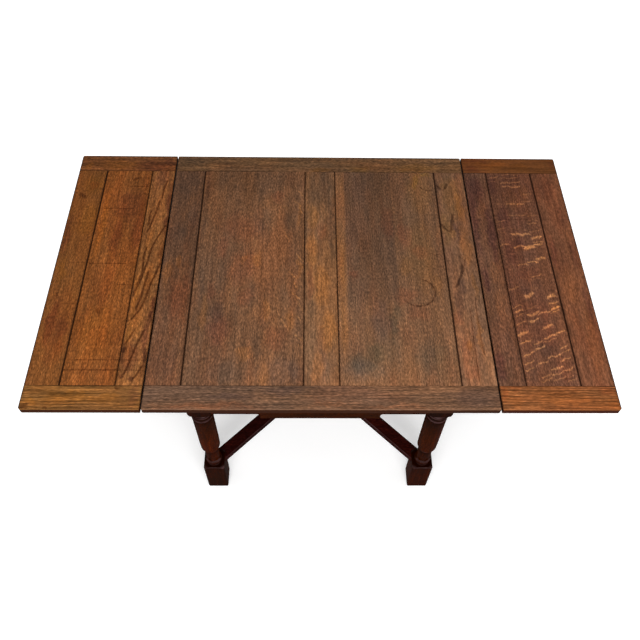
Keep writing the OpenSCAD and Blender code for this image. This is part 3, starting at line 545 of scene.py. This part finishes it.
MARKS = {
    "left_leaf_outer_stile": [
        ("spot", PURPLE, 0.8, [(-705, -215, 28, 60), (-735, -190, 20, 100), (-752, 120, 12, 90)]),
        ("spot", (1.08, 1.06, 0.84), 0.9, [(-705, 330, 40, 60), (-700, 180, 40, 80), (-740, -20, 16, 60)]),
        ("spot", REDDISH, 0.7, [(-708, 320, 14, 25), (-712, -285, 30, 60), (-735, -200, 20, 90)]),
        ("spot", (0.45, 0.4, 0.4), 0.9, [(-737, -104, 5, 6), (-735, 275, 14, 12)]),
        ("score", DARK, 0.45, 2.2, [(-735, -130, -672, -130), (-720, 14, -672, 15)]),
    ],
    "left_leaf_panel": [
        ("spot", (1.22, 1.14, 0.86), 0.9, [(-655, 170, 14, 160), (-610, -230, 60, 110)]),
        ("spot", PURPLE, 0.85, [(-575, 235, 60, 90), (-545, 150, 25, 120), (-605, 110, 22, 90)]),
        ("spot", REDDISH, 0.35, [(-620, -60, 45, 90), (-545, 345, 14, 40), (-560, 60, 30, 80),
            (-590, -240, 70, 40)]),
        ("spot", (0.55, 0.48, 0.45), 0.8, [(-617, -150, 9, 14), (-575, 352, 20, 8)]),
        ("score", DARK, 0.85, 3.0, [(-668, 226, -570, 226), (-668, 12, -560, 12), (-575, -65, -533, -65),
            (-600, 320, -533, 320), (-668, -312, -533, -311)]),
        ("score", DARK, 0.9, 4.6, [(-672, -342, -533, -342)]),
    ],
    "left_leaf_inner_stile": [
        ("spot", (0.6, 0.54, 0.56), 0.9, [(-463, 60, 8, 60), (-463, 200, 10, 120), (-464, -330, 10, 60),
            (-463, -120, 7, 60)]),
        ("spot", (1.28, 1.22, 0.95), 0.9, [(-520, -100, 12, 90), (-518, -250, 12, 80)]),
        ("spot", PURPLE, 0.85, [(-500, 360, 34, 60), (-462, 230, 16, 150), (-462, -140, 12, 60),
            (-474, -240, 12, 80), (-510, -300, 30, 60)]),
        ("spot", ORANGE, 0.6, [(-505, 90, 14, 60), (-488, -40, 16, 60), (-500, -200, 20, 70),
            (-505, -300, 14, 40)]),
        ("spot", (0.4, 0.36, 0.45), 0.85, [(-464, -181, 9, 28), (-467, -299, 11, 30), (-527, -282, 9, 6),
            (-516, -362, 12, 10), (-490, -366, 8, 14)]),
        ("vein", (0.34, 0.28, 0.26), 0.92, 6.0, [[(-478, 354), (-486, 313), (-489, 266)],
            [(-511, 225), (-517, 195), (-516, 154)], [(-493, 266), (-498, 225), (-506, 178), (-517, 125)],
            [(-461, 166), (-482, 113), (-493, 78), (-502, 13), (-517, -69), (-526, -99)],
            [(-508, 78), (-514, 36), (-511, -11), (-520, -69), (-524, -108)],
            [(-461, 25), (-473, -28), (-482, -63), (-493, -128), (-514, -175), (-528, -193)],
            [(-493, -11), (-499, -69), (-511, -158)],
            [(-476, -211), (-491, -258), (-502, -305), (-511, -346), (-517, -363)],
            [(-505, -216), (-520, -252), (-529, -270)], [(-467, -322), (-482, -358), (-493, -375)]]),
        ("score", DARK, 0.7, 2.8, [(-533, -65, -468, -65), (-533, -312, -465, -312),
            (-533, -342, -465, -343)]),
    ],
    "left_leaf_front_rail": [
        ("spot", (1.22, 1.1, 0.8), 0.8, [(-640, -425, 90, 20), (-560, -425, 60, 20), (-735, -435, 25, 18)]),
        ("spot", PURPLE, 0.6, [(-475, -425, 14, 40), (-480, -400, 20, 16)]),
        ("spot", (0.5, 0.42, 0.4), 0.8, [(-697, -447, 9, 6), (-522, -394, 9, 6), (-755, -452, 20, 8)]),
    ],
    "left_leaf_back_rail": [
        ("spot", PURPLE, 0.75, [(-530, 410, 70, 34), (-480, 430, 30, 20)]),
        ("spot", (1.15, 1.1, 0.78), 0.8, [(-640, 415, 80, 30), (-735, 410, 20, 16)]),
        ("score", (1.5, 1.45, 1.4), 0.5, 2.6, [(-750, 398, -570, 396)]),
        ("score", (1.4, 1.35, 1.3), 0.5, 3.0, [(-690, 448, -560, 432)]),
    ],
    "top_left_stile": [
        ("spot", (1.12, 1.12, 1.1), 0.8, [(-400, -60, 20, 70)]),
        ("spot", GREY, 0.8, [(-410, 340, 40, 80), (-425, 130, 26, 60), (-385, 200, 20, 60),
            (-410, -310, 44, 70)]),
        ("spot", ORANGE, 0.8, [(-440, -20, 16, 60), (-412, 20, 10, 26)]),
        ("spot", REDDISH, 0.8, [(-405, -110, 28, 80), (-380, -110, 16, 120)]),
    ],
    "top_left_panel": [
        ("spot", (0.98, 1.04, 1.2), 0.9, [(-285, -200, 34, 90), (-110, -350, 90, 50)]),
        ("spot", (0.7, 0.7, 0.76), 0.9, [(-352, 300, 10, 110), (-352, 140, 8, 60)]),
        ("spot", (0.8, 0.82, 0.84), 0.95, [(-250, 350, 110, 80), (-110, 350, 60, 50),
            (-348, 240, 14, 150)]),
        ("spot", (1.16, 1.09, 0.98), 0.9, [(-110, -190, 50, 120), (-80, -60, 26, 80), (-160, 250, 40, 40)]),
        ("spot", GREY, 0.85, [(-90, 170, 30, 60), (-345, -60, 14, 90), (-400, -250, 60, 90),
            (-285, -30, 26, 60), (-285, -150, 22, 50), (-185, -100, 30, 60), (-250, -350, 60, 34),
            (-175, -270, 20, 50), (-75, -330, 16, 60), (-180, 160, 20, 24)]),
        ("spot", (1.08, 0.92, 0.9), 0.9, [(-240, 150, 70, 70), (-230, 0, 50, 80), (-290, 80, 20, 60),
            (-310, -90, 18, 40), (-210, -110, 30, 40), (-120, -240, 40, 50), (-280, -220, 40, 60),
            (-130, 280, 26, 26)]),
        ("spot", ORANGE, 0.7, [(-222, 30, 14, 24), (-185, 30, 18, 34), (-150, -145, 12, 50),
            (-60, 210, 8, 60), (-60, 0, 8, 50), (-150, -360, 20, 50), (-85, -190, 20, 50),
            (-325, -160, 12, 80), (-210, -290, 30, 24)]),
        ("score", PALE, 0.95, 4.2, [(-66, 305, -55, 285), (-80, 262, -58, 240), (-64, 235, -55, 210),
            (-110, 240, -98, 225), (-107, 135, -92, 95), (-70, 50, -53, 22), (-92, -15, -70, -40),
            (-78, -52, -66, -75), (-82, -90, -60, -112), (-66, -120, -52, -150), (-70, -165, -56, -185),
            (-110, -180, -96, -205), (-72, -232, -52, -250), (-62, -262, -54, -275)]),
    ],
    "top_muntin": [
        ("spot", (0.98, 1.03, 1.16), 0.9, [(0, -330, 30, 60)]),
        ("spot", (0.7, 0.75, 0.84), 1.0, [(5, 330, 60, 110), (30, 240, 16, 120), (36, 100, 12, 120)]),
        ("spot", GREY, 0.9, [(32, -300, 12, 80)]),
        ("spot", ORANGE, 0.9, [(-24, 190, 20, 70), (-25, 60, 20, 90), (0, -60, 30, 90), (20, -220, 26, 90),
            (-10, -330, 20, 60)]),
        ("spot", REDDISH, 0.7, [(5, 140, 20, 50), (-30, -60, 10, 80)]),
    ],
    "top_right_panel": [
        ("spot", (0.8, 0.84, 1.02), 0.95, [(165, -190, 40, 90)]),
        ("spot", (0.8, 0.92, 1.1), 0.95, [(110, -340, 60, 40)]),
        ("spot", (1.2, 1.12, 0.92), 0.7, [(62, 0, 12, 110), (62, -210, 12, 100), (330, -60, 16, 50)]),
        ("spot", (1.18, 1.1, 0.88), 0.9, [(290, 60, 50, 170), (310, 300, 50, 120), (250, 10, 26, 50)]),
        ("strip", (0.72, 0.76, 0.84), 1.0, 70, [(77, 222, -130, 500)]),
        ("strip", (1.14, 1.08, 0.94), 0.7, 60, [(40, 74, -260, 380)]),
        ("spot", (0.84, 0.86, 0.9), 0.9, [(150, 345, 70, 50), (145, 60, 50, 90), (100, 130, 24, 40)]),
        ("spot", (1.12, 0.94, 0.9), 0.9, [(205, 170, 26, 80), (250, 120, 30, 60), (290, 60, 30, 30),
            (95, -22, 18, 12), (240, -100, 40, 40), (270, -160, 40, 30)]),
        ("spot", (0.76, 0.87, 0.95), 0.95, [(155, -250, 80, 130), (300, -300, 60, 60)]),
        ("spot", (0.66, 0.78, 0.84), 0.9, [(110, -320, 44, 44), (140, -290, 30, 40), (200, -200, 18, 60),
            (210, -150, 14, 30)]),
        ("spot", (1.12, 1.14, 0.72), 0.7, [(302, 350, 14, 40), (330, 380, 30, 16)]),
        ("arc", DARK, 0.95, 5.0, [(275, -87, 48, 48, -45, 62), (275, -87, 48, 48, 35, 42)]),
        ("arc", DARK, 0.75, 4.2, [(275, -87, 48, 48, -120, 30), (345, 345, 36, 36, -115, 38),
            (338, 62, 16, 12, -90, 60)]),
        ("score", PALE, 0.25, 2.4, [(140, -345, 158, -325), (122, -360, 138, -345), (60, -345, 78, -365),
            (150, -305, 162, -292)]),
    ],
    "top_right_stile": [
        ("spot", ORANGE, 0.8, [(432, 230, 16, 80), (430, 90, 22, 90), (440, -60, 10, 60),
            (400, -260, 14, 26), (432, -230, 10, 80), (430, 40, 12, 40)]),
        ("spot", (1.08, 1.08, 0.84), 0.9, [(410, 280, 40, 120), (385, 150, 26, 80)]),
        ("spot", GREY, 0.7, [(372, 330, 14, 50), (415, 370, 30, 26)]),
        ("spot", (0.66, 0.68, 0.78), 1.0, [(400, -70, 14, 46), (390, -120, 20, 70), (412, 130, 8, 60)]),
        ("spot", REDDISH, 0.6, [(385, -290, 20, 70), (380, -170, 16, 30), (395, -350, 26, 30)]),
        ("vein", (0.36, 0.33, 0.33), 0.9, 8.0, [[(362, 178), (372, 160), (380, 148), (391, 133)],
            [(406, 215), (399, 170), (391, 133)], [(403, 345), (395, 322), (385, 308)],
            [(366, 340), (375, 322), (385, 308)], [(412, 20), (406, -20), (394, -50), (384, -74)]]),
        ("vein", DARK, 0.7, 4.2, [[(416, -140), (412, -250), (411, -380)], [(424, 40), (412, -20)],
            [(436, -100), (432, -200), (435, -300)]]),
    ],
    "top_front_rail": [
        ("spot", (1.25, 1.06, 0.95), 0.7, [(-300, -446, 160, 10), (20, -440, 60, 12), (200, -450, 120, 8)]),
        ("spot", (0.78, 0.8, 0.9), 0.9, [(-100, -405, 60, 16), (400, -420, 80, 34), (-230, -420, 80, 16)]),
    ],
    "top_back_rail": [
        ("spot", (1.15, 1.08, 0.8), 0.8, [(310, 410, 90, 26), (0, 395, 40, 12), (130, 400, 40, 20)]),
        ("spot", GREY, 0.7, [(-400, 430, 60, 20), (-250, 420, 80, 30), (-60, 440, 60, 14)]),
    ],
    "right_leaf_inner_stile": [
        ("spot", PURPLE, 0.85, [(468, 220, 18, 240), (490, 320, 30, 80), (515, 130, 18, 140),
            (475, -40, 12, 60), (470, -330, 18, 60)]),
        ("spot", (1.16, 1.06, 0.92), 0.8, [(505, -20, 20, 60), (505, -140, 20, 90), (520, -220, 10, 90),
            (498, 240, 16, 60)]),
        ("score", PALE, 0.22, 2.4, [(490, 10, 500, -40), (500, 25, 512, -30), (492, -50, 506, -110),
            (505, -60, 520, -130), (515, -20, 526, -60), (490, -130, 500, -180), (508, -150, 520, -200)]),
    ],
    "right_leaf_panel": [
        ("spot", (0.8, 0.8, 0.86), 0.9, [(600, 340, 80, 100)]),
        ("spot", PURPLE, 0.6, [(560, 60, 24, 60), (590, 95, 30, 26), (545, 330, 20, 60),
            (560, 200, 20, 60)]),
        ("spot", GREY, 0.7, [(545, -350, 26, 30), (605, -270, 22, 30), (580, -75, 16, 20),
            (560, -160, 12, 20)]),
        ("spot", ORANGE, 0.55, [(600, 275, 34, 60), (640, 300, 20, 40), (650, -140, 16, 26),
            (610, 80, 40, 12)]),
        ("spot", (1.1, 0.98, 0.94), 0.8, [(600, -150, 60, 40), (610, -230, 60, 50), (600, -20, 50, 30),
            (640, -330, 30, 50)]),
        ("rays", (3.1, 3.2, 2.4), 1.0, [
            (536, 567, 0.45, -400, 0, [(-337, 3, 0.62), (-317, 3, 0.62), (-292, 4, 0.75), (-252, 4, 0.75),
                (-225, 5, 0.88), (-191, 4, 0.5), (-164, 3, 0.5), (-150, 5, 0.88), (-134, 3, 0.62),
                (-71, 4, 0.5)]),
            (536, 567, 0.3, 0, 400, [(90, 5, 0.62), (154, 3, 0.38), (182, 3, 0.5), (236, 3, 0.25),
                (352, 3, 0.5), (368, 4, 0.62)]),
            (571, 604, 0.42, -400, 0, [(-370, 3, 0.5), (-360, 3, 0.5), (-316, 4, 0.62), (-272, 4, 0.88),
                (-256, 3, 0.62), (-181, 4, 0.88), (-161, 5, 1), (-137, 3, 0.38), (-97, 7, 1)]),
            (574, 606, 0.05, 0, 400, [(14, 3, 0.62), (83, 5, 0.75), (131, 5, 0.88), (151, 3, 0.38),
                (207, 4, 0.5), (254, 5, 0.5), (329, 5, 0.62), (346, 4, 0.62), (366, 3, 0.5),
                (382, 3, 0.62)]),
            (604, 640, 0.36, -400, 0, [(-366, 3, 0.5), (-350, 3, 0.62), (-334, 4, 0.75), (-296, 4, 0.75),
                (-246, 3, 0.5), (-234, 5, 0.88), (-202, 5, 0.75), (-155, 4, 0.62), (-38, 3, 0.38),
                (-25, 4, 0.5)]),
            (602, 634, 0.1, 0, 400, [(25, 4, 0.88), (80, 7, 1), (132, 5, 0.88), (150, 3, 0.38),
                (207, 4, 0.5), (254, 5, 0.62), (330, 6, 0.71), (348, 4, 0.62), (368, 3, 0.5),
                (382, 3, 0.5)]),
            (638, 666, 0.42, -400, 0, [(-372, 3, 0.5), (-358, 3, 0.38), (-338, 4, 0.62), (-306, 3, 0.62),
                (-284, 3, 0.5), (-268, 4, 0.62), (-220, 4, 0.75), (-152, 3, 0.62), (-140, 5, 1),
                (-123, 4, 0.62), (-99, 7, 1)]),
            (632, 664, 0.15, 0, 400, [(37, 5, 0.88), (89, 6, 1), (101, 5, 0.62), (118, 5, 0.75),
                (145, 4, 0.38), (174, 4, 0.5), (188, 4, 0.38), (205, 4, 0.38), (266, 5, 0.38),
                (297, 5, 0.38)])]),
        ("score", DARK, 0.6, 3.2, [(545, 190, 634, 190), (540, 234, 560, 234), (566, -186, 566, -196)]),
    ],
    "right_leaf_outer_stile": [
        ("spot", (1.12, 1.06, 0.94), 0.8, [(715, -60, 30, 90), (735, -250, 24, 120)]),
        ("spot", (0.8, 0.77, 0.82), 0.9, [(710, 350, 40, 110), (740, 200, 16, 60)]),
        ("spot", PURPLE, 0.5, [(750, 60, 14, 80), (690, 60, 12, 80), (752, -140, 12, 90)]),
        ("score", DARK, 0.35, 2.4, [(672, 325, 745, 325), (672, 235, 745, 235), (672, 190, 760, 190),
            (672, 133, 760, 133)]),
    ],
    "right_leaf_front_rail": [
        ("spot", (1.18, 1.08, 0.92), 0.7, [(620, -420, 90, 26), (500, -430, 30, 20), (745, -440, 16, 14)]),
        ("spot", REDDISH, 0.6, [(500, -393, 40, 8), (470, -410, 12, 40), (740, -400, 24, 14)]),
    ],
    "right_leaf_back_rail": [
        ("spot", (1.14, 1.06, 0.84), 0.7, [(560, 425, 60, 22), (640, 415, 50, 22)]),
        ("spot", PURPLE, 0.7, [(485, 405, 30, 20), (500, 445, 60, 8), (520, 393, 60, 8),
            (750, 425, 14, 30)]),
    ],
}


# The boards of the main top and the leaves

def board(node, tone, grain, joints, seed, **options):
    """Dresses one board; joints gives the sides with a dark line, and half the line's width there; the lines
    at the leaf gaps and outer rims are painted shade.
    """
    low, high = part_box(node)
    x_sides = dict(left=low.x, right=high.x)
    y_sides = dict(front=low.y, back=high.y)
    seams = [(x_sides[side], half) for side, half in joints.items() if side in x_sides]
    cross_seams = [(y_sides[side], half) for side, half in joints.items() if side in y_sides]
    dress(oak(node + "_oak", tone, grain, seed, seams=seams, cross_seams=cross_seams,
              marks=MARKS.get(node, ()), **options), node)


# Half widths of the joints, in metres; the leaf gap and rim lines are painted shade on the arrises that face
# the gap or turn away
LEAF_GAP_SHADE, WIDE, NARROW, HAIR, RIM_SHADE = 0.0008, 0.0038, 0.0028, 0.0011, 0.0030
RAIL = dict(fine=0.85, stripe=1.7, grit=(60.0, 400.0), band=(8.0, 230.0),
            rings=0.45, ring=0.0085, wobble=1.6)
TOP = dict(streak=0.8, warm=(1.09, 1.00, 0.89), cool=(0.91, 0.98, 1.09))

board("top_front_rail", "6f503b", "x", dict(back=HAIR, left=LEAF_GAP_SHADE, right=LEAF_GAP_SHADE), 1.1,
      stripe=1.2, grit=(75.0, 400.0), band=(9.0, 240.0), rings=0.3, ring=0.008, wobble=1.6, **TOP)
board("top_back_rail", "6c4e35", "x", dict(front=HAIR, back=RIM_SHADE, left=LEAF_GAP_SHADE, right=LEAF_GAP_SHADE), 2.3,
      stripe=0.9, **TOP)
board("top_left_stile", "6c4a34", "y", dict(left=LEAF_GAP_SHADE, right=WIDE), 3.2, **TOP)
board("top_left_panel", "765239", "y", dict(left=WIDE, right=NARROW), 4.7, **TOP)
board("top_muntin", "815b3e", "y", dict(left=NARROW, right=NARROW), 5.9, stripe=0.25, fine=0.85, **TOP)
board("top_right_panel", "79563d", "y", dict(left=NARROW, right=WIDE), 6.1, **TOP)
board("top_right_stile", "855d42", "y", dict(left=WIDE, right=LEAF_GAP_SHADE), 7.4, stripe=0.25, fine=0.8, **TOP)
board("left_leaf_front_rail", "77502a", "x", dict(back=HAIR, left=RIM_SHADE, right=LEAF_GAP_SHADE), 8.8, **RAIL)
board("left_leaf_back_rail", "6f4427", "x", dict(front=HAIR, back=RIM_SHADE, left=RIM_SHADE, right=LEAF_GAP_SHADE), 9.3,
      stripe=0.7)
board("left_leaf_outer_stile", "784a26", "y", dict(left=RIM_SHADE, right=WIDE), 10.6)
board("left_leaf_panel", "895128", "y", dict(left=WIDE, right=WIDE), 11.2)
board("left_leaf_inner_stile", "8b5a33", "y", dict(left=WIDE, right=LEAF_GAP_SHADE), 12.9, stripe=0.3)
board("right_leaf_inner_stile", "704c38", "y", dict(left=LEAF_GAP_SHADE, right=WIDE), 13.5)
board("right_leaf_panel", "6f4835", "y", dict(left=WIDE, right=WIDE), 14.1, flecks=0.25)
board("right_leaf_outer_stile", "7e4f36", "y", dict(left=WIDE, right=RIM_SHADE), 15.8, fine=0.75)
board("right_leaf_front_rail", "7f4d2b", "x", dict(back=HAIR, left=LEAF_GAP_SHADE, right=RIM_SHADE), 16.3,
      **dict(RAIL, rings=0.65, wobble=1.2))
board("right_leaf_back_rail", "6e4223", "x", dict(front=HAIR, back=RIM_SHADE, left=LEAF_GAP_SHADE, right=RIM_SHADE), 17.7,
      fine=0.4, stripe=0.3)


# The underframe: darker varnish outside, plain oak where nothing was stained

# On the underframe the colour of the front arrises is a painted highlight for glints on beads, rings, block
# tops and stretcher chamfers, with some rubbing.
DARK_OAK = dict(coat=0.03, coat_roughness=0.13, warm=(1.15, 0.95, 0.80), cool=(0.9, 0.95, 1.05),
                mottle=1.3, broad=1.0, side=0.0, arris=(0.35, 0.65), worn_highlight="4a3332", bump=0.00006)
INNER = dict(coat=0.03, rough=0.62, side=0.25, edge=(0.7, 0.66, 0.6), rub_and_highlight=1.1)
LEG_TONE_AND_SHADE = (                                # share of the table's height, and tone there: stain, with painted light on the column's middle and painted shade under the top, at the block top and below the beads
    (0.0, 0.38), (0.19, 0.34), (0.22, 0.26), (0.26, 0.42), (0.32, 0.40), (0.335, 0.30),
    (0.36, 0.56), (0.46, 0.68), (0.60, 0.50), (0.66, 0.30), (0.72, 0.30), (1.0, 0.30))

dress(oak("leg_turned_oak", "2b0d00", "z", 20.2, fine=0.7, rise=LEG_TONE_AND_SHADE, **DARK_OAK),
      "front_left_leg", "front_right_leg", "back_left_leg", "back_right_leg")
dress(oak("stretcher_flat_oak", "270b08", "x", 21.4, **DARK_OAK), "lower_stretcher", "upper_stretcher")
dress(oak("apron_stained_oak", "270d00", "x", 22.6, **DARK_OAK), "front_apron", "back_apron")
dress(oak("end_rail_oak", "270d00", "y", 23.1, **DARK_OAK), "left_end_rail", "right_end_rail")
dress(oak("inner_plain_oak", "8a6a48", "y", 24.5, **INNER), "guide_rail", "centre_board", "corner_braces")
dress(oak("bearer_plain_oak", "80603f", "x", 25.7, **INNER),
      *[name for name in nodes if name.endswith("_bearer")])
dress(oak("peg_plain_oak", "7a5636", "z", 26.9, **INNER), "stretcher_dowel", "top_pegs")


def steel():
    """Dull steel with some rust, for the screws and pins."""
    metal = Shader(bpy.data.materials.new("screw_steel"))
    at = metal.node("ShaderNodeTexCoord").outputs["Object"]
    dull = metal.noise(at, 240.0, 3.0)
    rust = metal.remap(metal.noise(at, 90.0, 3.0), 0.50, 0.68)
    colour = metal.mix(rust, linear("6b655e"), linear("4a2a1a"))
    rough = metal.remap(dull, 0.3, 0.7, 0.32, 0.6)
    return metal.finish(colour, rough, dull, 0.00004, specular=0.5, metallic=0.85)


dress(steel(), *[name for name in nodes if "screws" in name or "stop_pins" in name])


# Floor, world and lamps

FLOOR_RADIUS = 14.0
FLOOR_PAINT = ((0.86, 0.86, 0.86, 1.0), (0.88, 0.88, 0.88, 1.0))
GLOW_FROM, GLOW_TO = 0.5, 1.5               # metres from the middle over which the floor's glow grows
GLOW_NEAR, GLOW_FAR = 0.32, 0.78            # weak near the table, where its shadow shows
WORLD_LIGHT = 0.28


def floor_material():
    """Pale paint that reads as white where the camera sees it, and keeps the table's shadow."""
    ground = Shader(bpy.data.materials.new("studio_floor"))
    at = ground.node("ShaderNodeTexCoord").outputs["Object"]
    paint = ground.node("ShaderNodeBsdfDiffuse")
    ground.put(paint.inputs["Color"], ground.mix(ground.noise(at, 3.0, 2.0), *FLOOR_PAINT))
    glow = ground.node("ShaderNodeEmission")
    lift = ground.remap(ground.vector("LENGTH", at), GLOW_FROM, GLOW_TO, GLOW_NEAR, GLOW_FAR)
    ground.put(glow.inputs["Color"], WHITE)
    ground.put(glow.inputs["Strength"], ground.math("MULTIPLY", ground.seen(), lift))
    both = ground.node("ShaderNodeAddShader")
    ground.put(both.inputs[0], paint.outputs[0])
    ground.put(both.inputs[1], glow.outputs[0])
    ground.surface(both)
    return ground.owner


bpy.ops.mesh.primitive_circle_add(vertices=96, radius=FLOOR_RADIUS, fill_type="NGON", location=(0, 0, 0))
floor = bpy.context.object
floor.name = "studio_floor"
floor.data.materials.append(floor_material())

world = bpy.data.worlds.new("studio_world")
bpy.context.scene.world = world
sky = Shader(world, "ShaderNodeOutputWorld")
choice = sky.node("ShaderNodeMixShader")
sky.put(choice.inputs[0], sky.seen())
for socket, strength in ((1, WORLD_LIGHT), (2, 1.0)):
    backdrop = sky.node("ShaderNodeBackground")
    sky.put(backdrop.inputs["Color"], WHITE)
    sky.put(backdrop.inputs["Strength"], strength)
    sky.put(choice.inputs[socket], backdrop.outputs[0])
sky.surface(choice)

LAMPS = [                                   # name, place, aim, width and height, watts
    ("soft_overhead", (0.0, -0.3, 3.6), (0.0, 0.0, 0.7), (3.5, 3.0), 20.0),
    ("soft_front", (0.0, -2.0, 2.0), (0.0, 0.0, 0.6), (1.8, 0.9), 55.0),
]
LOW = 0.45                                  # height of the weak lamps for the sides and the underframe
for side, x, y in (("left", -2.5, 0.0), ("right", 2.5, 0.0), ("back", 0.0, 2.3)):
    LAMPS.append(("low_" + side, (x, y, LOW), (0.0, 0.0, LOW), (2.4, 0.6), 14.0))
for name, place, aim, size, watts in LAMPS:
    light = bpy.data.lights.new(name, "AREA")
    light.shape = "RECTANGLE"
    light.size, light.size_y = size
    light.energy = watts
    lamp = bpy.data.objects.new(name, light)
    bpy.context.scene.collection.objects.link(lamp)
    lamp.location = place
    lamp.rotation_euler = (Vector(aim) - Vector(place)).to_track_quat("-Z", "Y").to_euler()
    lamp.visible_camera = False


# Camera, as fitted to the photograph

PHOTO_WIDTH = 640                           # pixels
FOCAL_LENGTH = 700.74                       # pixels
SENSOR_WIDTH = 36.0                         # millimetres
CAMERA_PLACE = (-0.03592, -1.25938, 2.35230)
pitch, yaw, roll = math.radians(55.93), math.radians(1.74), math.radians(1.64)

forward = Vector((math.sin(yaw) * math.cos(pitch), math.cos(yaw) * math.cos(pitch), -math.sin(pitch)))
level = forward.cross(Vector((0, 0, 1))).normalized()
rise = level.cross(forward)
right = math.cos(roll) * level + math.sin(roll) * rise
up = math.cos(roll) * rise - math.sin(roll) * level
turned = Matrix((right, up, -forward)).transposed().to_4x4()
turned.translation = Vector(CAMERA_PLACE)
camera_data = bpy.data.cameras.new("photo_view")
camera_data.sensor_width = SENSOR_WIDTH
camera_data.lens = SENSOR_WIDTH * FOCAL_LENGTH / PHOTO_WIDTH
camera = bpy.data.objects.new("photo_view", camera_data)
bpy.context.scene.collection.objects.link(camera)
camera.matrix_world = turned
bpy.context.scene.camera = camera
bpy.context.scene.view_settings.view_transform = "Standard"
